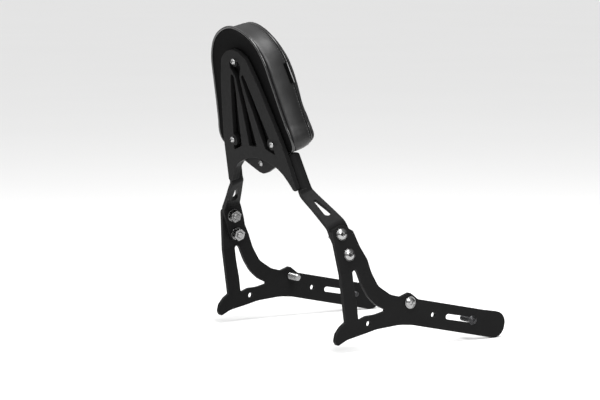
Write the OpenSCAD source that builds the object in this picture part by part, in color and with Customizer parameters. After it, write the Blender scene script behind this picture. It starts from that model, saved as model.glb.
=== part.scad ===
// Sissy bar: a padded passenger backrest on a bent and cut steel frame.
// Two side brackets carry one bent arm yoke, the yoke carries an open arch
// plate, and the arch plate carries a sewn pad.
//
// Frame: millimetres, X forward, Y left, Z up. The origin is the middle of
// the line that joins the two main bolts of the side brackets.

/* [Sheet metal] */
// Thickness of the brackets, the yoke and the arch plate
plate_t = 5; // [4:0.5:5.5]
// Width over the outside faces of the two side brackets
overall_w = 267; // [261:1:275]
// Inward lean of the upper tongue of each bracket, degrees
tongue_lean = 10; // [8:0.5:11]
// Slope of the bend lines in the side view, degrees
bend_slope = 21; // [20:0.5:22]
// Outward splay of the yoke legs, degrees
leg_splay = 14.5; // [13.5:0.5:15.5]

/* [Backrest] */
// Backward lean of the backrest, degrees
recline = 14.6; // [13.6:0.2:15.6]
// Height of the arch top above the lower pad screws
arch_top = 111; // [109:1:113]
// Spacing of the two lower pad screws
pad_screw_gap = 88; // [84:1:90]
// Depth of the side walls of the pad
pad_depth = 27; // [24:1:30]

/* [Fasteners] */
// Nominal size of the arm bolts and the main bolts
bolt_d = 8; // [6:1:8]
// Diameter of the flange under the bolt heads
flange_d = 14; // [13:0.2:16]
// Distance between the two bolts of one arm
arm_bolt_gap = 24.4; // [22:0.2:26]
// Nominal size of the screws at the rear slot of each bracket
slot_screw_d = 6; // [5:0.5:6]
// Nominal size of the pad screws
pad_screw_d = 4; // [3:0.5:4]

/* [Hidden] */
$fn = 48;
T = plate_t;
Wo = overall_w / 2;
main_x = 89;              // main bolt, forward of the upper arm bolt
main_z = 83.2;            // main bolt, below the upper arm bolt
bend_t = 40;              // bracket bend, below the upper arm bolt
clear_r = 0.25;           // clearance of a bolt in its hole

black = [0.09, 0.09, 0.095];
zinc  = [0.75, 0.76, 0.78];
vinyl = [0.14, 0.14, 0.145];

// ---------------------------------------------------------------- helpers
function unit(v) = v / norm(v);
function turn_left(u) = [-u[1], u[0]];

// one corner of an outline [x, y, radius], rounded between its neighbours
function corner(a, b, c, r) =
    let (u = unit([a[0]-b[0], a[1]-b[1]]), v = unit([c[0]-b[0], c[1]-b[1]]),
         p = [b[0], b[1]], half = acos(max(-1, min(1, u*v))) / 2)
    (r <= 0 || half > 89.6) ? [p] :
    let (k = min(r / tan(half), 0.46 * norm([a[0]-b[0], a[1]-b[1]]),
                 0.46 * norm([c[0]-b[0], c[1]-b[1]])),
         rr = k * tan(half), ctr = p + unit(u+v) * rr / sin(half),
         p1 = p + u*k - ctr, p2 = p + v*k - ctr,
         a1 = atan2(p1[1], p1[0]), a2 = atan2(p2[1], p2[0]),
         d = a2-a1 > 180 ? a2-a1-360 : a2-a1 < -180 ? a2-a1+360 : a2-a1,
         n = max(1, ceil(abs(d) / 12)))
    [for (i = [0:n]) ctr + rr * [cos(a1 + d*i/n), sin(a1 + d*i/n)]];

// points of an arc of radius r about c
function arc(c, r, a0, a1) = let (n = max(2, ceil(abs(a1 - a0) / 9)))
    [for (i = [0:n]) c + r * [cos(a0 + (a1-a0)*i/n), sin(a0 + (a1-a0)*i/n)]];
// outline of the smallest loop round two circles
function loop(p, rp, q, rq) = let (d = norm(q - p), a = atan2(q[1]-p[1], q[0]-p[0]), k = acos((rp - rq) / d))
    concat(arc(p, rp, a + k, a + 360 - k), arc(q, rq, a - k, a + k));

// closed outline with every corner rounded by its own radius
function rounded(P) = let (n = len(P))
    [for (i = [0:n-1]) each corner(P[(i+n-1)%n], P[i], P[(i+1)%n], P[i][2])];

// half outline [x >= 0] completed by its mirror image about x = 0
function both_sides(H) = concat(H,
    [for (i = [len(H)-1:-1:0]) if (H[i][0] > 0.01) [-H[i][0], H[i][1], H[i][2]]]);

// outline moved inwards to its centre c by about g
function shrink(P, c, g) =
    [for (p = P) let (v = p - c) c + v * (1 - g / norm(v))];

// section of a bent sheet: outer face polyline P [x, y, inner bend radius,
// 1 if the outside of the bend is convex], thickness t on its left
function bent_sheet(P, t) = let (n = len(P),
    dirs = [for (i = [0:n-2]) unit([P[i+1][0]-P[i][0], P[i+1][1]-P[i][1]])],
    offs = [for (i = [0:n-1])
        let (n1 = turn_left(dirs[max(0, i-1)]), n2 = turn_left(dirs[min(n-2, i)]),
             m = (n1 + n2) / (1 + n1*n2))
        [P[i][0] + t*m[0], P[i][1] + t*m[1], P[i][2] + (P[i][3] == 1 ? 0 : t)]])
    rounded(concat(
        [for (p = P) [p[0], p[1], p[2] <= 0 ? 0 : p[2] + (p[3] == 1 ? t : 0)]],
        [for (i = [n-1:-1:0]) P[i][2] <= 0 ? [offs[i][0], offs[i][1], 0] : offs[i]]));

// frame at the upper arm bolt: x forward along the bend lines, z up across them
module bend_frame() { rotate([0, -bend_slope, 0]) children(); }
// same, for outlines drawn as [x, z] and cut through along Y on the left side
module through_y(y0, y1) { rotate([90, 0, 0]) translate([0, 0, -y1]) linear_extrude(y1 - y0) children(); }
// same, for sections drawn as [y, z] and run along x
module along_x(x0, x1) { rotate([90, 0, 90]) translate([0, 0, x0]) linear_extrude(x1 - x0) children(); }
// frame of the backrest: x to the left, y up the plane, z forward out of it;
// its origin is on the rear face of the arch plate, level with the lower pad screws
back_o = [-40.9, 0, 96.8];
module back_frame() { translate(back_o) rotate([0, -recline, 0]) rotate([90, 0, 90]) children(); }
// everything is drawn from the upper arm bolt, then moved to the main bolts
module home() { translate([-main_x, 0, main_z]) children(); }
module left_and_right() { children(); mirror([0, 1, 0]) children(); }

// ---------------------------------------------------------- side brackets
// flat outline of a bracket, side view, [x forward, z up, corner radius]
bracket_pts = [
    [-11.6, 4.6, 3], [2.6, 10.4, 5], [15.6, 3.2, 3], [22.6, -14.6, 20],
    [30.6, -29, 12], [36, -44.5, 30], [45.6, -61, 16], [62, -72, 20],
    [77, -75.9, 4], [89, -71.6, 4], [100.5, -80.4, 6], [196, -100.7, 40],
    [226.5, -105.8, 18], [219.5, -137, 18], [114, -114.4, 60], [92, -109.6, 30],
    [75, -108, 40], [43, -110.6, 30], [27, -114.4, 20], [4, -119.2, 20],
    [-9, -125.6, 2.6], [-12.4, -120, 4], [-10.6, -111.5, 8], [-4.5, -104, 6],
    [2, -99.4, 1.2]];
// triangular opening
window_pts = [
    [10.5, -42.6, 2.6], [14.2, -39.6, 2.6], [17.8, -43.8, 3], [24.2, -59.5, 30],
    [33, -73.6, 30], [44, -83.8, 30], [58, -90.3, 1.4], [42, -94, 20],
    [30, -94.4, 12], [18.8, -98.8, 2.6], [16.6, -80, 30], [12.4, -58, 30]];
slot_a = [142.5, -104.2];   // rear end centre of the adjustment slot
slot_b = [179.2, -111.3];   // front end centre
slot_r = 3.25;
function lean_w(t) = Wo - tan(tongue_lean) * (bend_t - t);  // outer face of the tongue

// places a child on the outer face of the tongue, its z pointing outwards
module on_tongue(b, t) {
    bend_frame() translate([b, lean_w(t), -t]) rotate([-(90 - tongue_lean), 0, 0]) children();
}
module at_arm_bolts() { on_tongue(0.2, 0) children(); on_tongue(-1, arm_bolt_gap) children(); }
module at_main_bolt() { translate([main_x, Wo, -main_z]) rotate([-90, 0, 0]) children(); }
module at_slot_screw() { translate([177, Wo, -110.9]) rotate([-90, 0, 0]) children(); }

module side_bracket() {
    difference() {
        intersection() {
            through_y(90, 150) polygon(rounded(bracket_pts));
            bend_frame() along_x(-120, 220)
                polygon(bent_sheet([[Wo, -240, 0, 1], [Wo, -bend_t, 3, 1],
                                    [Wo - tan(tongue_lean) * 60, 60 - bend_t, 0, 1]], T));
        }
        through_y(90, 150) polygon(rounded(window_pts));
        at_arm_bolts() translate([0, 0, -T-4]) cylinder(h = T+8, r = bolt_d/2 + clear_r);
        at_main_bolt() translate([0, 0, -T-2]) cylinder(h = T+4, r = bolt_d/2 + clear_r);
        // adjustment slot for the two slot screws
        through_y(90, 150) polygon(loop(slot_a, slot_r, slot_b, slot_r));
        // spare holes at the foot and along the bar
        translate([32.8, Wo-T-2, -103.2]) rotate([-90, 0, 0]) cylinder(h = T+4, r = 3.25);
        translate([121.9, Wo-T-2, -100.3]) rotate([-90, 0, 0]) cylinder(h = T+4, r = 3.25);
    }
}
module left_side_bracket()  { color(black) home() side_bracket(); }
module right_side_bracket() { color(black) home() mirror([0, 1, 0]) side_bracket(); }

// --------------------------------------------------------------- arm yoke
bend_r = 3;                  // inner radius where each leg turns forward
leg_top = -11.8;             // top edge of the yoke, in the backrest frame
leg_end = -53;               // foot of the legs, in the backrest frame
flange_t0 = -49;             // height where the flange face is flange_w out
flange_w = 79.8;
knee_t = -47.8;              // outer face corner where the arm turns outwards
ankle_t = -11.5;             // outer face corner where it meets the bracket
F = [cos(recline), 0, sin(recline)];
S = [-sin(recline), 0, cos(recline)];
up = [-sin(bend_slope), 0, cos(bend_slope)];
flange_n = [0, cos(leg_splay), 0] + sin(leg_splay) * up;
leg_dir = unit(cross(F, flange_n));
flange_dir = cross(flange_n, leg_dir);
flange_c = cos(leg_splay) * flange_w - sin(leg_splay) * flange_t0;
Ro = bend_r + T;
bend_mid = back_o + (T + Ro) * F;        // depth of the bend centre line
bend_y = (flange_c - Ro - flange_n * bend_mid) / cos(leg_splay);
bend_c = bend_mid + [0, bend_y, 0];
leg_slope = leg_dir[1] / (leg_dir * S);  // sideways run of a leg for each mm up
function leg_y(s) = bend_y + s * leg_slope;
off_square = asin(-(F * flange_n));      // the fold is this much short of 90 degrees

function knee_w() = flange_w + tan(leg_splay) * (knee_t - flange_t0);
function ankle_w() = lean_w(ankle_t) - T / cos(tongue_lean);

// side view of the arm below the knee, [x along the bend lines, z, radius]
arm_pts = [
    [4.8, 54.6, 0], [9.05, 54.6, 0], [8.6, 50, 8], [9.3, 41, 20], [11.4, 28, 30],
    [12.6, 20, 20], [14.4, 5, 20], [14.2, -12, 20], [12.4, -28, 8], [5, -35.4, 9],
    [-7.6, -34.4, 6], [-10.4, -24, 10], [-10.2, 2, 12], [-8.8, 20, 12], [-8.2, 30, 20],
    [-8.2, 41, 8], [-6.8, 52.2, 1.6], [4.8, 51.4, 0.6]];

// half of the flat middle of the yoke, [y, s, radius]
yoke_half = [
    [0, -39.9, 6], [8, -38.6, 10], [27.5, -30.6, 8], [36.5, -26.6, 6], [45, -28.6, 10],
    [55, -35.8, 14], [63.5, -44.6, 10], [69.5, -52.9, 3]];

// one leg: strip of the flat middle, quarter bend and forward flange
function turned(v, a) = [v[0]*cos(a) - v[1]*sin(a), v[0]*sin(a) + v[1]*cos(a)];
module leg_section() {
    polygon(concat([[5.2, Ro]], arc([0, 0], Ro, 90, 180 - off_square),
        [turned([-Ro, -1.5], -off_square), turned([-bend_r, -1.5], -off_square)],
        arc([0, 0], bend_r, 180 - off_square, 90), [[5.2, bend_r]]));
}
module leg() {
    intersection() {
        multmatrix([[flange_dir[0], flange_n[0], leg_dir[0], bend_c[0]],
                    [flange_dir[1], flange_n[1], leg_dir[1], bend_c[1]],
                    [flange_dir[2], flange_n[2], leg_dir[2], bend_c[2]],
                    [0, 0, 0, 1]])
            translate([0, 0, -70]) linear_extrude(80) leg_section();
        // side view trim, drawn in the backrest frame as [up, forward]
        back_frame() along_x(20, 110)
            polygon(rounded([[leg_end, 0, 0], [leg_top, 0, 0], [leg_top, 18.15, 3.4], [leg_end, 18.15, 0]]));
    }
}
module arm() {
    difference() {
        intersection() {
            bend_frame() through_y(60, 140) polygon(rounded(arm_pts));
            bend_frame() along_x(-30, 30)
                polygon(bent_sheet([[lean_w(60) - T/cos(tongue_lean), -60, 0, 1],
                                    [ankle_w(), -ankle_t, 5, 1],
                                    [knee_w(), -knee_t, 4, 0],
                                    [knee_w() - tan(leg_splay) * 12, 12 - knee_t, 0, 0]], T));
        }
        // teardrop opening, cut square to the sloping part
        bend_frame() translate([0, ankle_w(), -ankle_t])
            rotate([-atan2(ankle_t - knee_t, ankle_w() - knee_w()), 0, 0])
            translate([0, 0, -T-3]) linear_extrude(T + 6)
            polygon(loop([1.4, -38], 2, [2.9, -18.2], 4.4));
        at_arm_bolts() translate([0, 0, -2*T-6]) cylinder(h = 2*T+8, r = bolt_d/2 + clear_r);
        // the top corner stops at the foot of the arch plate
        back_frame() translate([0, 0, -1]) linear_extrude(T + 1) polygon(rounded(both_sides(arch_half)));
    }
}
module arm_yoke() {
    color(black) home() {
        difference() {
            union() {
                back_frame() translate([0, 0, T]) linear_extrude(T)
                    polygon(rounded(concat(
                        [for (p = yoke_half) p],
                        [[leg_y(leg_end), leg_end, 0], [leg_y(leg_top), leg_top, 0],
                         [-leg_y(leg_top), leg_top, 0], [-leg_y(leg_end), leg_end, 0]],
                        [for (i = [len(yoke_half)-1:-1:1]) [-yoke_half[i][0], yoke_half[i][1], yoke_half[i][2]]])));
                left_and_right() leg();
                left_and_right() arm();
            }
            back_frame() translate([0, -27, T-2]) cylinder(h = T+4, r = pad_screw_d/2 + clear_r);
        }
    }
}

// ------------------------------------------------------------- arch plate
arch_half = [
    [0, arch_top, 26], [13, arch_top-2.8, 20], [26.5, 100.5, 10], [39.5, 74, 60],
    [53.5, 34.5, 80], [65.2, 0, 80], [76.4, -53.2, 2.4], [69, -53.2, 2.4],
    [63, -45.6, 20], [54, -35.6, 20], [43, -28.4, 20], [22, -21.6, 40], [0, -18.4, 60]];
mid_slot_half = [
    [0, -5.2, 0], [8.8, -5.2, 1.4], [7.4, 15, 40], [5.3, 44, 60], [4.6, 77.5, 8],
    [8.2, 83.8, 3], [12.2, 88.6, 4], [10.6, 95.6, 2], [0, 99, 0]];
side_slot = [
    [8, 79, 1], [13.7, 81.4, 1.2], [18.5, 71, 30], [27.7, 44.5, 60],
    [46.8, -12.8, 1.6], [34, -9, 40], [26.2, -6.4, 1.6], [22.3, 10, 50],
    [17.2, 35, 60], [11.5, 57, 60], [8.5, 74, 20]];
low_screw = [pad_screw_gap/2, 0];
top_screw = [0, 96.6];

module at_pad_screws() {
    for (p = [low_screw, -low_screw, top_screw]) translate([p[0], p[1], 0]) children();
}
// slots end in round eyes that hold the three pad screws
module side_slot_cut() { difference() { polygon(rounded(side_slot)); translate([low_screw[0]-2.6, 0]) circle(6.8); } }
module mid_slot_cut() {
    difference() {
        polygon(rounded(both_sides(mid_slot_half)));
        translate(top_screw) circle(6.2);
        translate([-6.2, top_screw[1]]) square([12.4, 8]);
    }
}
module arch_plate() {
    color(black) home() back_frame() difference() {
        linear_extrude(T) polygon(rounded(both_sides(arch_half)));
        translate([0, 0, -1]) linear_extrude(T + 2) mid_slot_cut();
        translate([0, 0, -1]) linear_extrude(T + 2) side_slot_cut();
        mirror([1, 0, 0]) translate([0, 0, -1]) linear_extrude(T + 2) side_slot_cut();
        at_pad_screws() translate([0, 0, -2]) cylinder(h = T+4, r = pad_screw_d/2 + clear_r);
    }
}

// -------------------------------------------------------------------- pad
pad_back = T + 2;                  // rear face of the pad, on the spacers
// outline of the pad seen from behind
pad_half = [[0, -10.8, 0], [78.5, -10.8, 14], [85, 6, 16], [77, 30, 40], [66, 78, 80],
            [62, 98, 18], [49, 117.5, 30], [29, 131.5, 26], [0, 138.2, 60]];
pad_mid = [0, 60];
// side view of the pad: [up the plane, depth]
pad_side = [[-10.8, -2, 0], [-11.2, 8, 12], [-8.5, 18, 10], [-2.5, 28, 10], [10, 60, 20],
    [100, 60, 0], [124, 37, 10], [134, 27, 10], [138.2, 12, 10], [139, -2, 0]];
module pad_outline(g) { polygon(shrink(rounded(both_sides(pad_half)), pad_mid, g)); }
// one step of the dome, from depth z up by h, narrowing to the factor k
module dome_step(g, z, h, k0, k) {
    translate([pad_mid[0], pad_mid[1], pad_back + z]) linear_extrude(h, scale = k)
        scale([k0, k0]) translate(-pad_mid) pad_outline(g);
}
// the pad as a plain block, g inside its outer skin, from depth z0
module pad_block(g, z0) {
    intersection() {
        union() {
            translate([0, 0, pad_back + z0]) linear_extrude(pad_depth - g - z0) pad_outline(g);
            dome_step(g, pad_depth - g - 0.01, 4, 1, 0.93);
            dome_step(g, pad_depth - g + 3.98, 4, 0.93, 0.78);
        }
        translate([-100, 0, pad_back]) along_x(0, 200)
            polygon(rounded([for (p = pad_side) [p[0] + (p[0] < 50 ? g : -g), p[1], p[2]]]));
    }
}
piping = 3.4;                       // width and depth of the piping
edge_in = 1.6;                      // the piping sits this far inside the side walls
board_z = 1.4;                      // board starts this far in from the back panel
board_t = 6;
module pad_cover() {                // front and sides, sewn as one shell
    color(vinyl) home() back_frame() difference() {
        pad_block(0, piping + 0.1);
        pad_block(1.5, -1);
    }
}
module pad_foam() {
    color([0.75, 0.72, 0.55]) home() back_frame() difference() {
        pad_block(1.7, board_z + board_t + 0.1);
        at_pad_screws() translate([0, 0, pad_back + board_z + board_t - 1]) cylinder(h = 5, r = 8);
    }
}
module pad_base_board() {
    color([0.16, 0.14, 0.12]) home() back_frame() difference() {
        translate([0, 0, pad_back + board_z]) linear_extrude(board_t) pad_outline(edge_in + piping + 1);
        at_pad_screws() translate([0, 0, pad_back]) cylinder(h = 12, r = 2.8);
    }
}
module pad_back_panel() {
    color(vinyl * 0.6) home() back_frame() difference() {
        translate([0, 0, pad_back]) linear_extrude(1.2) pad_outline(edge_in + piping + 0.2);
        at_pad_screws() translate([0, 0, pad_back - 1]) cylinder(h = 4, r = pad_screw_d/2 + 0.4);
    }
}
module pad_piping() {
    color(vinyl) home() back_frame() translate([0, 0, pad_back]) linear_extrude(piping) difference() {
        pad_outline(edge_in);
        pad_outline(edge_in + piping);
    }
}
module pad_tag() {                  // folded blank tag in the right front seam
    color([0.05, 0.05, 0.05]) home() back_frame() translate([-70.6, 68, pad_back + 19])
        rotate([0, 0, -13]) translate([-1.5, 0, 0]) cube([1.4, 24, 8]);
}
module pad_screws() {
    color(zinc) home() back_frame() at_pad_screws() mirror([0, 0, 1]) button_screw(pad_screw_d, pad_screw_d*1.8, 3.6, 13.4, 2.5);
}
module pad_spacers() {
    color(black) home() back_frame() at_pad_screws() translate([0, 0, T]) difference() {
        cylinder(h = 2, d = 13);
        translate([0, 0, -1]) cylinder(h = 4, r = pad_screw_d/2 + 0.15);
    }
}
module pad_inserts() {              // flanged inserts pressed in from the foam side
    color(zinc) home() back_frame() at_pad_screws() translate([0, 0, pad_back + board_z]) difference() {
        union() {
            cylinder(h = board_t, r = 2.75);
            translate([0, 0, board_t]) cylinder(h = 1.2, r = 7);
        }
        translate([0, 0, -1]) cylinder(h = board_t + 4, r = pad_screw_d/2 + 0.04);
    }
}

// -------------------------------------------------------------- fasteners
// plain shank below z = 0 with a chamfered end
module shank(d, len) {
    c = d / 8;
    translate([0, 0, -len + c]) cylinder(h = len - c, d = d);
    translate([0, 0, -len]) cylinder(h = c, d1 = d - 2*c, d2 = d);
}
// low round head with a hex socket, above z = 0
module button_screw(d, head, high, len, key) {
    base = high * 0.22;
    cap = high - base;
    rim = head/2 - 0.15;
    rho = (rim*rim + cap*cap) / (2*cap);
    difference() {
        union() {
            cylinder(h = base, d = head);
            translate([0, 0, base]) intersection() {
                translate([0, 0, cap - rho]) sphere(rho);
                cylinder(h = cap + 1, d = head + 4);
            }
        }
        translate([0, 0, high*0.4]) cylinder(h = high, d = key / cos(30), $fn = 6);
    }
    shank(d, len);
}
// low domed head on a thin round flange
module flange_bolt(d, flange, len) {
    cylinder(h = 1.3, d = flange);
    translate([0, 0, 1.3]) difference() {
        intersection() {
            translate([0, 0, 3.1 - 8.6]) sphere(8.6);
            cylinder(h = 4, d = flange - 2.2);
        }
        translate([0, 0, 0.6]) cylinder(h = 4, d = 5 / cos(30), $fn = 6);
    }
    shank(d, len);
}
washer_t = 1.6;
nut_h = 6.5;
module arm_bolts()   { color(zinc) home() left_and_right() at_arm_bolts() flange_bolt(bolt_d, flange_d, 2*T + washer_t + nut_h + 2); }
module arm_washers() {
    color(zinc) home() left_and_right() at_arm_bolts() translate([0, 0, -2*T - washer_t]) difference() {
        cylinder(h = washer_t, d = 15);
        translate([0, 0, -1]) cylinder(h = washer_t + 2, r = bolt_d/2 + 0.2);
    }
}
module arm_nuts() {
    color(zinc) home() left_and_right() at_arm_bolts() translate([0, 0, -2*T - washer_t - nut_h]) difference() {
        intersection() {
            cylinder(h = nut_h, d = 13 / cos(30), $fn = 6);
            translate([0, 0, -3.2]) cylinder(h = nut_h + 2.4, d1 = 13 / cos(30) + 5.8, d2 = 13 / cos(30) - 1.2);
        }
        translate([0, 0, -1]) cylinder(h = nut_h + 2, r = bolt_d/2 + 0.04);
    }
}
module main_bolts()  { color(zinc) home() left_and_right() at_main_bolt() flange_bolt(bolt_d, flange_d, 25); }
module slot_screws() { color([0.12, 0.12, 0.13]) home() left_and_right() at_slot_screw() button_screw(slot_screw_d, 10.5, 3.3, 22, 4); }
module tongue_screw() { color(zinc) home() back_frame() translate([0, -27, T]) mirror([0, 0, 1]) button_screw(pad_screw_d, 7.6, 2.2, 10, 2.5); }
module tongue_nut() {
    color(zinc) home() back_frame() translate([0, -27, 2*T]) difference() {
        cylinder(h = 3.2, d = 7 / cos(30), $fn = 6);
        translate([0, 0, -1]) cylinder(h = 6, r = pad_screw_d/2 + 0.04);
    }
}

right_side_bracket();
left_side_bracket();
arm_yoke();
arch_plate();
pad_base_board();
pad_foam();
pad_cover();
pad_back_panel();
pad_piping();
pad_tag();
pad_screws();
pad_spacers();
pad_inserts();
tongue_screw();
tongue_nut();
arm_bolts();
arm_washers();
arm_nuts();
main_bolts();
slot_screws();
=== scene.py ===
import math
import random
import bpy
import bmesh
from mathutils import Matrix, Vector, noise
from mathutils.bvhtree import BVHTree


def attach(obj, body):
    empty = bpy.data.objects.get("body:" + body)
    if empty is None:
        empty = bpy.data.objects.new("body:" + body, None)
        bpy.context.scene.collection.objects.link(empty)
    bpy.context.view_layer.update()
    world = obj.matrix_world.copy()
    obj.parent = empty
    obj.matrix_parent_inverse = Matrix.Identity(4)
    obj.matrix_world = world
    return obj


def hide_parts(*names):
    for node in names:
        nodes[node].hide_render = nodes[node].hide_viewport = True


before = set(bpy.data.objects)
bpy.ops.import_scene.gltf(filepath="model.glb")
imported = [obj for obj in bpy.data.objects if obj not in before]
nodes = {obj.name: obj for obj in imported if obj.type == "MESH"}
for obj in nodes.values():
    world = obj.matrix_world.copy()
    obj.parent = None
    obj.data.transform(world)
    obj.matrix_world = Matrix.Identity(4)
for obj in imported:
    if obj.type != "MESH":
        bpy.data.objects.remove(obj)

random.seed(11)
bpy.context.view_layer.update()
scene = bpy.context.scene

# ------------------------------------------------------------------ camera
AZ, EL = math.radians(-31.8), math.radians(6.13)
right = Vector((math.cos(AZ), math.sin(AZ), 0))
back = Vector((math.sin(AZ) * math.cos(EL), -math.cos(AZ) * math.cos(EL), math.sin(EL)))
up = back.cross(right)
cam_data = bpy.data.cameras.new("camera")
cam_data.lens, cam_data.sensor_width = 147.0, 36.0
cam_data.clip_start, cam_data.clip_end = 0.1, 200.0
cam = bpy.data.objects.new("camera", cam_data)
scene.collection.objects.link(cam)
eye = (right * 20.394 + up * 27.153 + back * 2855.2 + Vector((-89, 0, 83.2))) / 1000
cam.matrix_world = Matrix(((right.x, up.x, back.x, eye.x), (right.y, up.y, back.y, eye.y),
                           (right.z, up.z, back.z, eye.z), (0, 0, 0, 1)))
scene.camera = cam


# --------------------------------------------------------------- materials
class Tree:
    """A principled material with short helpers for its nodes."""

    def __init__(self, name, colour, rough, metal=0.0, spec=0.5, **sockets):
        self.mat = bpy.data.materials.new(name)
        self.mat.use_nodes = True
        self.nt = self.mat.node_tree
        self.nt.nodes.clear()
        out = self.new("ShaderNodeOutputMaterial")
        self.bsdf = self.new("ShaderNodeBsdfPrincipled")
        self.link(self.bsdf.outputs[0], out.inputs[0])
        i = self.bsdf.inputs
        i["Base Color"].default_value = (*colour, 1)
        i["Roughness"].default_value = rough
        i["Metallic"].default_value = metal
        i["Specular IOR Level"].default_value = spec
        for k, v in sockets.items():
            i[k.replace("_", " ")].default_value = v
        self.co = self.new("ShaderNodeTexCoord").outputs["Object"]
        self.mat.diffuse_color = (*colour, 1)

    def new(self, kind, **props):
        n = self.nt.nodes.new(kind)
        for k, v in props.items():
            setattr(n, k, v)
        return n

    def link(self, a, b):
        self.nt.links.new(a, b)

    def stretched(self, sx, sy, sz):
        m = self.new("ShaderNodeMapping")
        m.inputs["Scale"].default_value = (sx, sy, sz)
        self.link(self.co, m.inputs[0])
        return m.outputs[0]

    def noise(self, size, detail=3.0, rough=0.55, co=None, distort=0.0):
        n = self.new("ShaderNodeTexNoise")
        n.inputs["Scale"].default_value = 1.0 / size
        n.inputs["Detail"].default_value = detail
        n.inputs["Roughness"].default_value = rough
        n.inputs["Distortion"].default_value = distort
        self.link(co or self.co, n.inputs["Vector"])
        return n.outputs["Fac"]

    def voronoi(self, size, feature="DISTANCE_TO_EDGE", rand=1.0):
        n = self.new("ShaderNodeTexVoronoi", feature=feature)
        n.inputs["Scale"].default_value = 1.0 / size
        n.inputs["Randomness"].default_value = rand
        self.link(self.co, n.inputs["Vector"])
        return n.outputs["Distance"]

    def wave(self, size, axis="Z", distort=0.0, profile="SIN"):
        n = self.new("ShaderNodeTexWave", bands_direction=axis, wave_profile=profile)
        n.inputs["Scale"].default_value = 0.314159 / size
        n.inputs["Distortion"].default_value = distort
        self.link(self.co, n.inputs["Vector"])
        return n.outputs["Fac"]

    def span(self, fac, lo, hi, a=0.0, b=1.0):
        n = self.new("ShaderNodeMapRange")
        for k, v in zip(("From Min", "From Max", "To Min", "To Max"), (lo, hi, a, b)):
            n.inputs[k].default_value = v
        self.link(fac, n.inputs["Value"])
        return n.outputs[0]

    def math(self, op, a, b=None):
        n = self.new("ShaderNodeMath", operation=op)
        self.link(a, n.inputs[0])
        if isinstance(b, (int, float)):
            n.inputs[1].default_value = b
        elif b is not None:
            self.link(b, n.inputs[1])
        return n.outputs[0]

    def mix(self, fac, a, b):
        n = self.new("ShaderNodeMix", data_type="RGBA")
        self.link(fac, n.inputs["Factor"])
        for s, v in ((n.inputs[6], a), (n.inputs[7], b)):
            if isinstance(v, tuple):
                s.default_value = (*v, 1)
            else:
                self.link(v, s)
        return n.outputs[2]

    def colour(self, out):
        self.link(out, self.bsdf.inputs["Base Color"])

    def rough(self, out):
        self.link(out, self.bsdf.inputs["Roughness"])

    def edges(self, radius):
        """(rounded normal, mask that is 1 along edges)"""
        b = self.new("ShaderNodeBevel", samples=6)
        b.inputs["Radius"].default_value = radius
        g = self.new("ShaderNodeNewGeometry")
        d = self.new("ShaderNodeVectorMath", operation="DOT_PRODUCT")
        self.link(b.outputs[0], d.inputs[0])
        self.link(g.outputs["Normal"], d.inputs[1])
        return b.outputs[0], self.span(d.outputs["Value"], 0.985, 0.86)

    def bump(self, height, distance, strength=1.0, normal=None):
        n = self.new("ShaderNodeBump")
        n.inputs["Strength"].default_value = strength
        n.inputs["Distance"].default_value = distance
        self.link(height, n.inputs["Height"])
        if normal is not None:
            self.link(normal, n.inputs["Normal"])
        self.link(n.outputs[0], self.bsdf.inputs["Normal"])
        return n.outputs[0]


# satin black powder coat: fine orange peel, and polished edges painted lighter grey in patches, partly as wear and
# partly as a painted highlight
t = Tree("powder_coat", (0.011, 0.011, 0.0111), 0.42, spec=0.035)
rounded, edge = t.edges(0.0007)
broad = t.noise(0.035, 4)
# edges painted lighter grey in patches: partly edge wear, partly a painted highlight along every edge
t.colour(t.mix(t.math("MULTIPLY", edge, t.span(t.noise(0.006, 5), 0.35, 0.7)),
               t.mix(broad, (0.0074, 0.0074, 0.0075), (0.0106, 0.0106, 0.0107)), (0.045, 0.045, 0.0455)))
t.rough(t.math("ADD", t.span(t.noise(0.004, 4), 0.3, 0.7, 0.36, 0.47), t.span(edge, 0, 1, 0, -0.06)))
t.bump(t.math("ADD", t.noise(0.0011, 2), t.math("MULTIPLY", t.noise(0.0045, 2), 0.8)), 0.00007, 0.55, rounded)
POWDER = t.mat

# bright zinc fasteners: passivated, brushed by the socket, dulled in patches
t = Tree("zinc_plate", (0.72, 0.73, 0.75), 0.26, 1.0)
rounded, edge = t.edges(0.0003)
t.colour(t.mix(t.noise(0.003, 4), (0.19, 0.19, 0.193), (0.45, 0.45, 0.446)))
t.rough(t.span(t.noise(0.0016, 5), 0.3, 0.7, 0.10, 0.24))
t.bump(t.math("ADD", t.noise(0.0006, 4, co=t.stretched(1, 1, 5)), t.noise(0.0025, 3)), 0.00003, 0.5, rounded)
ZINC = t.mat

# black oxide screws at the slots; their edges are painted light grey, partly as worn oxide and partly as a painted
# highlight
t = Tree("black_oxide", (0.03, 0.03, 0.032), 0.34, 0.85)
rounded, edge = t.edges(0.0004)
# edges painted light grey: partly worn oxide, partly a painted highlight along every edge
t.colour(t.mix(edge, t.mix(t.noise(0.002, 4), (0.020, 0.020, 0.021), (0.045, 0.045, 0.047)), (0.16, 0.16, 0.165)))
t.rough(t.span(t.noise(0.0012, 4), 0.3, 0.7, 0.26, 0.42))
t.bump(t.noise(0.0008, 4), 0.00004, 0.5, rounded)
OXIDE = t.mat


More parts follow.
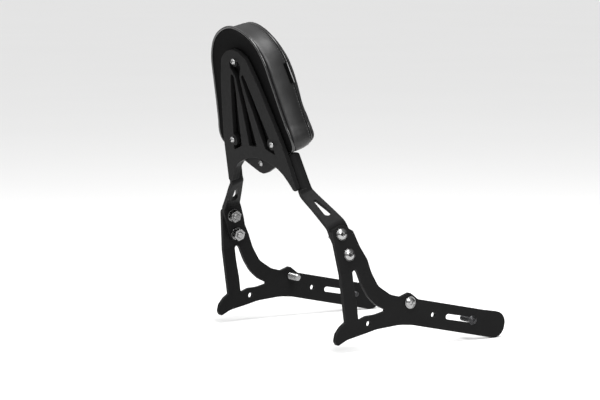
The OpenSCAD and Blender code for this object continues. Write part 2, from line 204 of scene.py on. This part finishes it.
def vinyl(name, dark, light, rough, spec, grain=0.0013, depth=0.00009, pucker=2.2):
    """Pressed leather-look vinyl: cells with soft creases and slow gloss changes."""
    t = Tree(name, light, rough, spec=spec)
    cells = t.math("SMOOTH_MIN", t.voronoi(grain), 0.22)
    fine = t.math("MULTIPLY", t.noise(grain * 0.35, 3), 0.18)
    puckers = t.math("MULTIPLY", t.noise(grain * 5, 3, 0.6, distort=0.4), pucker)
    slow = t.noise(0.03, 3)
    t.colour(t.mix(t.math("ADD", t.math("MULTIPLY", cells, 1.6), t.math("MULTIPLY", slow, 0.55)), dark, light))
    t.rough(t.math("ADD", t.span(slow, 0.3, 0.7, rough - 0.05, rough + 0.05), t.math("MULTIPLY", fine, 0.35)))
    t.bump(t.math("ADD", t.math("ADD", cells, fine), puckers), depth, 0.7)
    return t.mat


VINYL = vinyl("pad_vinyl", (0.0035, 0.0035, 0.0036), (0.007, 0.007, 0.0071), 0.38, 0.44)
PIPING = vinyl("piping_vinyl", (0.004, 0.004, 0.0041), (0.008, 0.008, 0.0081), 0.15, 0.75, 0.001, 0.00003)
BACKING = vinyl("back_vinyl", (0.0040, 0.0040, 0.0041), (0.0074, 0.0074, 0.0075), 0.66, 0.03, 0.0017, 0.00012)

# woven ribbon of the blank tag, and the thread
t = Tree("tag_ribbon", (0.002, 0.002, 0.002), 0.85, spec=0.02)
weave = t.math("MULTIPLY", t.wave(0.0005, "Z"), t.wave(0.0006, "X"))
t.colour(t.mix(weave, (0.0012, 0.0012, 0.0012), (0.0030, 0.0030, 0.0030)))
t.bump(weave, 0.0001, 0.6)
TAG = t.mat
# pale grey strip painted along the curved fold of the tag
t = Tree("tag_pale_strip", (0.17, 0.17, 0.17), 0.55, spec=0.3, Sheen_Weight=0.1)
weave = t.wave(0.0005, "Z", 1.0)
t.colour(t.mix(weave, (0.12, 0.12, 0.12), (0.23, 0.23, 0.23)))
t.bump(weave, 0.0001, 0.6)
TAG_PALE_STRIP = t.mat
t = Tree("thread", (0.02, 0.02, 0.021), 0.5, spec=0.5, Sheen_Weight=0.3)
twist = t.wave(0.0004, "DIAGONAL", 1.0)
t.colour(t.mix(twist, (0.010, 0.010, 0.010), (0.034, 0.034, 0.036)))
t.bump(twist, 0.00012, 0.8)
THREAD = t.mat

# open-cell foam, plywood board, rubber spacers: inside the pad
t = Tree("seat_foam", (0.70, 0.64, 0.42), 0.9, spec=0.2)
pores = t.voronoi(0.0022)
t.colour(t.mix(pores, (0.52, 0.46, 0.28), (0.78, 0.72, 0.50)))
t.bump(pores, 0.0006, 0.8)
FOAM = t.mat
t = Tree("painted_board", (0.03, 0.028, 0.026), 0.7, spec=0.3)
grainy = t.noise(0.004, 5, 0.6, t.stretched(1, 7, 1), 0.6)
t.colour(t.mix(grainy, (0.018, 0.017, 0.016), (0.05, 0.046, 0.042)))
t.bump(grainy, 0.0002, 0.6)
BOARD = t.mat
t = Tree("rubber", (0.012, 0.012, 0.012), 0.75, spec=0.3)
t.colour(t.mix(t.noise(0.002, 4), (0.008, 0.008, 0.008), (0.02, 0.02, 0.02)))
t.bump(t.noise(0.0008, 3), 0.00008, 0.6)
RUBBER = t.mat


def paint(obj, *mats):
    obj.data.materials.clear()
    for m in mats:
        obj.data.materials.append(m)


for n, m in {"right_side_bracket": POWDER, "left_side_bracket": POWDER, "arm_yoke": POWDER,
             "arch_plate": POWDER, "arm_bolts": ZINC, "arm_washers": ZINC, "arm_nuts": ZINC,
             "main_bolts": ZINC, "pad_screws": ZINC, "pad_inserts": ZINC, "tongue_screw": ZINC,
             "tongue_nut": ZINC, "slot_screws": OXIDE, "pad_spacers": RUBBER,
             "pad_base_board": BOARD, "pad_foam": FOAM, "pad_cover": VINYL,
             "pad_back_panel": BACKING, "pad_piping": PIPING, "pad_tag": TAG}.items():
    paint(nodes[n], m)

# ------------------------------------------------------- frame of the pad
LEAN = math.radians(14.6)
F = Vector((math.cos(LEAN), 0, math.sin(LEAN)))      # forward, out of the plate
S = Vector((-math.sin(LEAN), 0, math.cos(LEAN)))     # up the plate
L = Vector((0, 1, 0))
O = Vector((-129.9, 0, 180.0))


def at(h, s, d):
    return (O + L * h + S * s + F * d) / 1000


def smooth(a, b, x):
    k = min(1.0, max(0.0, (x - a) / (b - a)))
    return k * k * (3 - 2 * k)


def through(points, x):
    """Value at x of a line through (x, y) points."""
    for (x0, y0), (x1, y1) in zip(points, points[1:]):
        if x <= x1:
            return y0 + (y1 - y0) * max(0.0, (x - x0) / (x1 - x0))
    return points[-1][1]


# half outline of the pad along the middle of its piping, from the bottom middle up the left side
HALF = [(0, -9.5), (22, -9.6), (44, -9.7), (60, -9.7), (70, -9.1), (75.6, -6.9), (79.2, -2.9),
        (80.3, 2), (80.0, 7), (78.2, 13.5), (75.6, 21), (71.9, 36), (69.1, 48), (66.4, 61), (63.8, 73),
        (61.4, 85), (58.4, 96), (53.6, 106), (46.8, 115.6), (38.5, 123), (29.5, 128.2), (19.5, 132.2),
        (9, 134.8), (0, 135.6)]
N = 256


def outline(n=N):
    """n points round the pad, evenly spaced, with their outward directions."""
    ring = HALF + [(-h, s) for h, s in reversed(HALF[1:-1])]
    m, fine = len(ring), []
    for i in range(m):
        p = [Vector(ring[(i + k - 1) % m]) for k in range(4)]
        for j in range(24):
            u = j / 24
            fine.append(0.5 * (2 * p[1] + (p[2] - p[0]) * u + (2 * p[0] - 5 * p[1] + 4 * p[2] - p[3]) * u * u
                               + (3 * p[1] - p[0] - 3 * p[2] + p[3]) * u ** 3))
    far, total = [0.0], 0.0
    for a, b in zip(fine, fine[1:] + fine[:1]):
        total += (b - a).length
        far.append(total)
    pts, k = [], 0
    for i in range(n):
        want = total * i / n
        while far[k + 1] < want:
            k += 1
        u = (want - far[k]) / (far[k + 1] - far[k])
        pts.append(fine[k].lerp(fine[(k + 1) % len(fine)], u))
    out = []
    for i in range(n):
        d = pts[(i + 1) % n] - pts[i - 1]
        out.append(Vector((d.y, -d.x)).normalized())
    return pts, out


EDGE, OUT = outline()


def eased(table):
    """Value at every outline point of a line through (height, value) points, smoothed round the ring."""
    v = [through(table, p.y) for p in EDGE]
    for _ in range(4):
        v = [(v[i - 2] + 2 * v[i - 1] + 3 * v[i] + 2 * v[(i + 1) % N] + v[(i + 2) % N]) / 9 for i in range(N)]
    return v


# how far the side wall stands out, where the front seam is, how full the front edge is, piping depth
WALL = eased([(-12, 0.9), (2, 1.3), (20, 2.0), (38, 2.0), (55, 2.2), (75, 2.2), (92, 1.6), (106, 0.2), (120, -1.0), (137, -1.3)])
SEAM = eased([(-12, 32.2), (5, 32.4), (22, 32.8), (36, 33.0), (54, 34.0), (73, 34.0), (92, 33.2), (109, 32.4), (120, 31.5), (137, 31.5)])
FULL = eased([(-12, 1.1), (9, 1.15), (25, 1.08), (38, 0.66), (54, 0.85), (73, 1.05), (92, 1.1), (106, 0.9), (137, 0.85)])
CORD = eased([(-12, 7.1), (-6, 7.0), (4, 5.8), (20, 5.6), (137, 5.6)])


def rise(s, d):
    """The underside climbs to the front."""
    return through([(0, 0), (14, 0), (24, 1.0), (31, 2.6), (36.6, 6.5), (39.7, 11), (44, 16)], d) * smooth(12, -9.5, s)


def place(i, out, d):
    """Beside point i of the outline, out to its outside, at depth d; far inside, it heads for the spine."""
    p, s = EDGE[i] + OUT[i] * out, EDGE[i].y
    if out < -9:
        c = Vector((0, min(82.0, max(32.0, EDGE[i].y))))
        v = EDGE[i] - c
        p = c + v * max(0.0, 1 + out / v.length)
        s += v.y * max(9 / v.length - 1, (out + 9) / v.length)
    return at(p.x, p.y + rise(s, d), d)


def on_side(i, v, b, c):
    return place(i, c + WALL[i] * b, 7 + v * (SEAM[i] - 7))


def on_front(i, dd, c):
    return place(i, c + WALL[i] * 0.9, SEAM[i] + dd * FULL[i])


def loft(name, rings, close, mats):
    """Mesh from rings of N points; close fills the last one on the pad's spine."""
    verts, faces = [], []
    for r in rings:
        verts += r
    k = len(rings)
    for j in range(k - 1):
        for i in range(N):
            a, b = j * N + i, j * N + (i + 1) % N
            faces.append((a, b, b + N, a + N))
    me = bpy.data.meshes.new(name)
    me.from_pydata([tuple(v) for v in verts], [], faces)
    if close:
        bm = bmesh.new()
        bm.from_mesh(me)
        bm.verts.ensure_lookup_table()
        bmesh.ops.remove_doubles(bm, verts=bm.verts[(k - 1) * N:], dist=0.00035)
        bmesh.ops.dissolve_degenerate(bm, edges=bm.edges, dist=1e-6)
        bmesh.ops.recalc_face_normals(bm, faces=bm.faces)
        bm.to_mesh(me)
        bm.free()
    for f in me.polygons:
        f.use_smooth = True
    o = bpy.data.objects.new(name, me)
    scene.collection.objects.link(o)
    paint(o, *mats)
    return o


# cover: side wall (share of its depth, share of the bulge, offset), then the crowned front
SIDE = [(-0.01, 0.0, -2.6), (0.012, 0.0, -1.7), (0.030, 0.1, -1.0), (0.065, 0.4, -0.15), (0.14, 0.65, 0.0),
        (0.32, 0.92, 0.0), (0.45, 1.0, 0.1), (0.58, 1.0, 0.15), (0.70, 1.0, 0.05), (0.80, 0.95, -0.1),
        (0.88, 0.9, -0.35), (0.94, 0.9, -0.75), (0.97, 0.9, -1.3), (0.99, 0.9, -1.9), (1.0, 0.9, -2.3)]
FRONT = [(0.5, -2.2), (0.9, -1.3), (1.4, -0.5), (2.0, -0.1), (2.8, -0.4), (3.6, -1.3), (4.3, -2.8), (4.9, -5.0), (5.4, -8.0)]
rings = [[on_side(i, *r) for i in range(N)] for r in SIDE] + [[on_front(i, *r) for i in range(N)] for r in FRONT]


STEP = [(EDGE[(i + 1) % N] - EDGE[i - 1]).length for i in range(N)]


def inside(p):
    """Soft distance of p from the whole outline: it has no ridges where two edges are equally near."""
    t = sum(STEP[i] / ((p - EDGE[i]).length_squared + 1e-6) ** 2 for i in range(0, N, 2))
    return (t * 2 / math.pi) ** (-1 / 3)


def crown(first, start, top, steps):
    """Rings from first mm inside the outline to the spine, depth easing from start(i) to top."""
    out, near = [], []
    for k in range(steps + 1):
        u = k / steps
        ring = []
        for i in range(N):
            c = Vector((0, min(82.0, max(32.0, EDGE[i].y))))
            v = EDGE[i] - c
            g = first + (v.length - first) * u
            w = inside(c + v * max(0.0, 1 - g / v.length))
            if k == 0:
                near.append(w)
                continue
            q = math.sin(min(1.0, max(0.0, w - near[i]) / 26) * math.pi / 2)
            ring.append(place(i, -max(g, 9.01), start(i) + (top - start(i)) * q))
        if ring:
            out.append(ring)
    return out


rings += crown(8.6, lambda i: SEAM[i] + 5.45 * FULL[i], 41.6, 12)
cover = loft("pad_sewn_cover", rings, True, [VINYL])

# the cover is blown tight round its seams by a short cloth run
seam_rows = set(range(0, 3)) | {13, 14, 15}
# rows held by the piping and by the front seam
pin = cover.vertex_groups.new(name="seams")
pin.add([r * N + i for r in seam_rows for i in range(N)], 1.0, "REPLACE")
start = [v.co.copy() for v in cover.data.vertices]
cl = cover.modifiers.new("cloth", "CLOTH")
cs = cl.settings
cs.quality = 6
cs.mass = 0.25
cs.tension_stiffness = cs.compression_stiffness = 30
cs.shear_stiffness = 12
cs.bending_stiffness = 2.0
cs.use_pressure = True
cs.uniform_pressure_force = 4.0
cs.vertex_group_mass = "seams"
cs.effector_weights.gravity = 0
cl.collision_settings.use_collision = False
cl.point_cache.frame_start, cl.point_cache.frame_end = 1, 20
for f in range(1, 21):
    scene.frame_set(f)
shape = cover.evaluated_get(bpy.context.evaluated_depsgraph_get()).data
moved = [v.co.copy() for v in shape.vertices]
cover.modifiers.clear()
scene.frame_set(1)
reach = 0.0
for v, a, b in zip(cover.data.vertices, start, moved):
    d = b - a
    reach = max(reach, d.length)
    cap = 0.0010 if (a * 1000 - O).dot(S) > 2 else 0.0003
    v.co = a + (d * (cap / d.length) if d.length > cap else d)
print("cloth moved", round(reach * 1000, 2), "mm before the cap")

# slow unevenness of a hand-stretched cover, and pulls at the lower corners
cover.data.update()
for v, nrm in zip(cover.data.vertices, [v.normal.copy() for v in cover.data.vertices]):
    if v.index // N < 3:
        continue
    q = v.co
    s = (q * 1000 - O).dot(S)
    h = (q * 1000 - O).dot(L)
    k = noise.noise(q * 34) * 0.00030 + noise.noise(q * 90 + Vector((3, 1, 2))) * 0.00010
    corner = smooth(34, 4, s) * smooth(52, 78, abs(h))
    k += corner * 0.00040 * noise.noise(Vector((h * 0.10, s * 0.16, (q * 1000 - O).dot(F) * 0.05)))
    v.co = q + nrm * k
sub = cover.modifiers.new("subdivision", "SUBSURF")
sub.levels = sub.render_levels = 1
surface = BVHTree.FromPolygons([v.co.copy() for v in cover.data.vertices], [tuple(p.vertices) for p in cover.data.polygons])


def on_cover(i, d, lift):
    """Point of the side wall beside outline point i, lift outside the cover."""
    o = EDGE[i]
    n3 = (L * OUT[i].x + S * OUT[i].y).normalized()
    p = at(o.x, o.y + rise(o.y, d), d)
    hit = surface.ray_cast(p + n3 * 0.02, -n3)
    return (hit[0] if hit[0] is not None else p) + n3 * lift


def tube(name, centres, radius, sides, mat, wobble=0.0):
    """Closed welt through the centre points."""
    verts, faces, m = [], [], len(centres)
    for i, c in enumerate(centres):
        along = (centres[(i + 1) % m] - centres[i - 1]).normalized()
        u = F.cross(along).normalized()
        w = along.cross(u).normalized()
        r = radius * (1 + wobble * noise.noise(c * 160))
        for k in range(sides):
            a = 2 * math.pi * k / sides
            verts.append(c + u * (r * math.cos(a)) + w * (r * math.sin(a)))
        for k in range(sides):
            a, b = i * sides + k, i * sides + (k + 1) % sides
            c2, d2 = ((i + 1) % m) * sides + k, ((i + 1) % m) * sides + (k + 1) % sides
            faces.append((a, b, d2, c2))
    me = bpy.data.meshes.new(name)
    me.from_pydata([tuple(v) for v in verts], [], faces)
    bm = bmesh.new()
    bm.from_mesh(me)
    bmesh.ops.recalc_face_normals(bm, faces=bm.faces)
    bm.to_mesh(me)
    bm.free()
    for f in me.polygons:
        f.use_smooth = True
    o = bpy.data.objects.new(name, me)
    scene.collection.objects.link(o)
    paint(o, mat)
    return o


# piping round the back edge, and the narrow welt in the front seam
piping = tube("pad_piping_cord", [place(i, 0.25, CORD[i] - 0.1) for i in range(N)], 0.00150, 14, PIPING, 0.05)
welt = tube("pad_front_welt", [place(i, 0.9 * WALL[i] - 1.35, SEAM[i] + 0.05) for i in range(N)], 0.00100, 8, PIPING, 0.12)

# back panel, drawn flat over the board and turned under the piping
rows = [(-0.9, 0.6, 0.0), (-1.5, -0.1, 0.0), (-2.4, -0.2, 0.12), (-4.2, 0.0, 0.35), (-6.5, 0.0, 0.6), (-8.9, 0.0, 0.8)]
rings = [[place(i, g, (CORD[i] + d) * (1 - m) + 7.05 * m) for i in range(N)] for g, d, m in rows]
rings += crown(9.2, lambda i: CORD[i] * 0.15 + 7.05 * 0.85, 7.06, 9)
panel = loft("pad_rear_panel", rings, True, [BACKING])
sub = panel.modifiers.new("subdivision", "SUBSURF")
sub.levels = sub.render_levels = 1

# foam core just inside the cover
rows = [(0.34, -7.0), (0.345, -2.6), (0.40, -1.9), (0.6, -1.9), (0.8, -2.1), (0.93, -2.8)]
rings = [[place(i, c + WALL[i] * 0.9, 7 + v * (SEAM[i] - 7)) for i in range(N)] for v, c in rows]
rings += [[on_front(i, dd - 1.9, c) for i in range(N)] for dd, c in [(1.4, -3.2), (2.8, -3.4), (4.0, -4.4), (5.0, -7.6)]]
rings += crown(9.2, lambda i: SEAM[i] + 3.2 * FULL[i], 39.6, 8)
foam = loft("pad_foam_core", rings, True, [FOAM])

# stitches beside the front seam, each a short bowed thread
verts, faces = [], []
count = N * 5 // 8
for j in range(count):
    i0 = j * N / count
    pts = []
    for k in range(5):
        f = (i0 + (k - 2) * 0.22) % N
        i = int(f) % N
        a, b = on_cover(i, SEAM[i] - 3.4, 0.0), on_cover((i + 1) % N, SEAM[(i + 1) % N] - 3.4, 0.0)
        n3 = (L * OUT[i].x + S * OUT[i].y).normalized()
        pts.append(a.lerp(b, f - int(f)) + n3 * (0.00022 if 0 < k < 4 else -0.0002))
    base = len(verts)
    for k, p in enumerate(pts):
        along = (pts[min(4, k + 1)] - pts[max(0, k - 1)]).normalized()
        u = F.cross(along).normalized()
        w = along.cross(u).normalized()
        r = 0.00030 if 0 < k < 4 else 0.00014
        for q in range(6):
            a = math.pi * q / 3
            verts.append(p + u * (r * math.cos(a)) + w * (r * math.sin(a)))
    for k in range(4):
        for q in range(6):
            a, b = base + k * 6 + q, base + k * 6 + (q + 1) % 6
            faces.append((a, b, b + 6, a + 6))
    faces.append(tuple(base + q for q in range(5, -1, -1)))
    faces.append(tuple(base + 24 + q for q in range(6)))
me = bpy.data.meshes.new("pad_stitches")
me.from_pydata([tuple(v) for v in verts], [], faces)
for f in me.polygons:
    f.use_smooth = True
stitches = bpy.data.objects.new("pad_stitches", me)
scene.collection.objects.link(stitches)
paint(stitches, THREAD)

# blank tag: a ribbon folded back from the right front seam, lying on the side wall
beside = sorted([i for i in range(N) if EDGE[i].x < 0 and 64 < EDGE[i].y < 90.5], key=lambda i: EDGE[i].y)
profile = [(0.2, -1.2), (0.9, 0.0), (0.5, 1.2), (-1.1, 1.9), (-2.3, 1.9), (-4.0, 1.7), (-5.4, 1.4),
           (-6.1, 0.95), (-5.7, 0.5), (-4.6, 0.5), (-3.2, 0.6), (-1.6, 0.5)]
verts, faces = [], []
for i in beside:
    flare = 0.25 * math.sin((EDGE[i].y - 64) * 0.26)
    full = math.sin(math.pi * min(1.0, max(0.0, (EDGE[i].y - 63) / 28))) ** 0.7
    for k, (d, lift) in enumerate(profile):
        if k == 4:
            d = -1.2 - 1.1 * full
        verts.append(on_cover(i, SEAM[i] + min(d, -1.6), (lift + flare * (lift > 1)) / 1000) + F * (max(0.0, d + 1.6) / 1000))
m = len(profile)
for r in range(len(beside) - 1):
    for k in range(m - 1):
        faces.append((r * m + k, r * m + k + 1, (r + 1) * m + k + 1, (r + 1) * m + k))
me = bpy.data.meshes.new("pad_blank_tag")
me.from_pydata([tuple(v) for v in verts], [], faces)
for f in me.polygons:
    f.use_smooth = True
tag = bpy.data.objects.new("pad_blank_tag", me)
scene.collection.objects.link(tag)
paint(tag, TAG, TAG_PALE_STRIP)
for f in me.polygons:
    # one row of faces along the curved fold of the tag gets the pale grey strip
    f.material_index = 1 if f.index % (m - 1) == 3 else 0
sol = tag.modifiers.new("ribbon", "SOLIDIFY")
sol.thickness, sol.offset = 0.00035, 0
sub = tag.modifiers.new("subdivision", "SUBSURF")
sub.levels = sub.render_levels = 2


def thread(name, base, axis, length, radius, pitch, mat):
    """A rolled thread standing on a shank: from base along axis."""
    axis = axis.normalized()
    u = axis.orthogonal().normalized()
    w = axis.cross(u)
    turns, per = length / pitch, 20
    steps = int(turns * per)
    verts, faces = [], []
    for k in range(steps + 1):
        a, z = 2 * math.pi * k / per, length * k / steps
        fade = min(1.0, k / 8, (steps - k) / 8)
        out = u * math.cos(a) + w * math.sin(a)
        for rr, dz in ((radius - 0.0002, -0.42), (radius + 0.00030 * fade, -0.08), (radius + 0.00030 * fade, 0.08), (radius - 0.0002, 0.42)):
            verts.append(base + out * rr + axis * (z + dz * pitch))
        if k:
            b = 4 * k
            faces += [(b - 4 + q, b + q, b + q + 1, b - 3 + q) for q in range(3)]
            faces.append((b - 1, b + 3, b, b - 4))
    faces += [(3, 2, 1, 0), (4 * steps, 4 * steps + 1, 4 * steps + 2, 4 * steps + 3)]
    me = bpy.data.meshes.new(name)
    me.from_pydata([tuple(v) for v in verts], [], faces)
    bm = bmesh.new()
    bm.from_mesh(me)
    bmesh.ops.recalc_face_normals(bm, faces=bm.faces)
    bm.to_mesh(me)
    bm.free()
    o = bpy.data.objects.new(name, me)
    scene.collection.objects.link(o)
    paint(o, mat)
    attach(o, "root")
    return o


ARM_TILT = math.radians(10.0)
BEND = math.radians(21.0)


def tongue_point(b, t, out, side):
    """Point out of the outer face of a bracket tongue, t below the upper arm bolt, as the bolts stand."""
    lean = 133.5 - math.tan(ARM_TILT) * (40 - t)
    n = Vector((math.sin(ARM_TILT) * -math.sin(BEND) * 1.0, math.cos(ARM_TILT), math.sin(ARM_TILT) * math.cos(BEND)))
    p = Vector((b * math.cos(BEND) + t * math.sin(BEND), lean, b * math.sin(BEND) - t * math.cos(BEND)))
    q = p + n * out + Vector((-89, 0, 83.2))
    return Vector((q.x, q.y * side, q.z)) / 1000, Vector((n.x, n.y * side, n.z))


for side, word in ((1, "left"), (-1, "right")):
    for b, gap, which in ((0.2, 0.0, "upper"), (-1.0, 24.4, "lower")):
        tip, n = tongue_point(b, gap, -(10 + 1.6 + 6.5 + 0.1), side)
        thread(f"{word}_{which}_arm_bolt_thread", tip, -n, 0.0014, 0.0040, 0.00125, ZINC)
    thread(f"{word}_main_bolt_thread", Vector((0, 0.1275 * side, 0)), Vector((0, -side, 0)), 0.0176, 0.0040, 0.00125, ZINC)
    thread(f"{word}_slot_screw_thread", Vector((0.088, 0.1275 * side, -0.0277)), Vector((0, -side, 0)), 0.0150, 0.0030, 0.001, OXIDE)

for piece, node, slot in ((cover, "pad_cover", "pad_vinyl"), (piping, "pad_piping", "pad_vinyl"),
                          (panel, "pad_back_panel", "pad_back_vinyl"), (foam, "pad_foam", "pad_foam"),
                          (tag, "pad_tag", "tag_fabric")):
    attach(piece, "root")
    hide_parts(node)
for piece in (welt, stitches):
    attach(piece, "root")

# ------------------------------------------------------- floor and lights
floor_z = min(v.co.z for n in ("left_side_bracket", "right_side_bracket") for v in nodes[n].data.vertices) - 0.0002
bpy.ops.mesh.primitive_grid_add(x_subdivisions=8, y_subdivisions=8, size=120, location=(0, 0, floor_z))
floor = bpy.context.active_object
floor.name = "floor"
t = Tree("floor_paper", (0.86, 0.86, 0.858), 0.9, spec=0.1)
t.colour(t.mix(t.noise(0.6, 2), (0.85, 0.85, 0.848), (0.87, 0.87, 0.868)))
paint(floor, t.mat)

world = bpy.data.worlds.new("studio")
world.use_nodes = True
wt = world.node_tree
bg = wt.nodes["Background"]
seen = wt.nodes.new("ShaderNodeBackground")
seen.inputs[0].default_value = (0.93, 0.93, 0.93, 1)
seen.inputs[1].default_value = 0.90
gen = wt.nodes.new("ShaderNodeTexCoord")
sep = wt.nodes.new("ShaderNodeSeparateXYZ")
wt.links.new(gen.outputs["Generated"], sep.inputs[0])
high = wt.nodes.new("ShaderNodeMapRange")
high.interpolation_type = "SMOOTHSTEP"
for k, v in zip(("From Min", "From Max", "To Min", "To Max"), (0.05, 0.60, 0.10, 1.36)):
    high.inputs[k].default_value = v
wt.links.new(sep.outputs[2], high.inputs["Value"])
ahead = wt.nodes.new("ShaderNodeMapRange")
ahead.interpolation_type = "SMOOTHSTEP"
for k, v in zip(("From Min", "From Max", "To Min", "To Max"), (-0.10, 0.65, 1.0, 0.25)):
    ahead.inputs[k].default_value = v
wt.links.new(sep.outputs[0], ahead.inputs["Value"])
glow = wt.nodes.new("ShaderNodeMath")
glow.operation = "MULTIPLY"
wt.links.new(high.outputs[0], glow.inputs[0])
wt.links.new(ahead.outputs[0], glow.inputs[1])
bg.inputs[0].default_value = (1.0, 1.0, 1.0, 1)
wt.links.new(glow.outputs[0], bg.inputs[1])
ray = wt.nodes.new("ShaderNodeLightPath")
pick = wt.nodes.new("ShaderNodeMixShader")
wt.links.new(ray.outputs["Is Camera Ray"], pick.inputs[0])
wt.links.new(bg.outputs[0], pick.inputs[1])
wt.links.new(seen.outputs[0], pick.inputs[2])
wt.links.new(pick.outputs[0], next(n for n in wt.nodes if n.type == "OUTPUT_WORLD").inputs[0])
scene.world = world


def softbox(name, place, aim, size, power, size_y=None):
    data = bpy.data.lights.new(name, "AREA")
    data.shape, data.size, data.energy = "RECTANGLE", size, power
    data.size_y = size_y or size
    o = bpy.data.objects.new(name, data)
    scene.collection.objects.link(o)
    o.location = place
    o.rotation_euler = (Vector(aim) - Vector(place)).to_track_quat("-Z", "Y").to_euler()
    return o


softbox("overhead", (-0.15, -0.38, 1.65), (-0.08, 0, 0.15), 0.8, 24)
softbox("right_side", (-0.50, -1.75, 1.30), (-0.05, 0, 0.1), 0.9, 25, 0.9)

scene.view_settings.view_transform = "Standard"
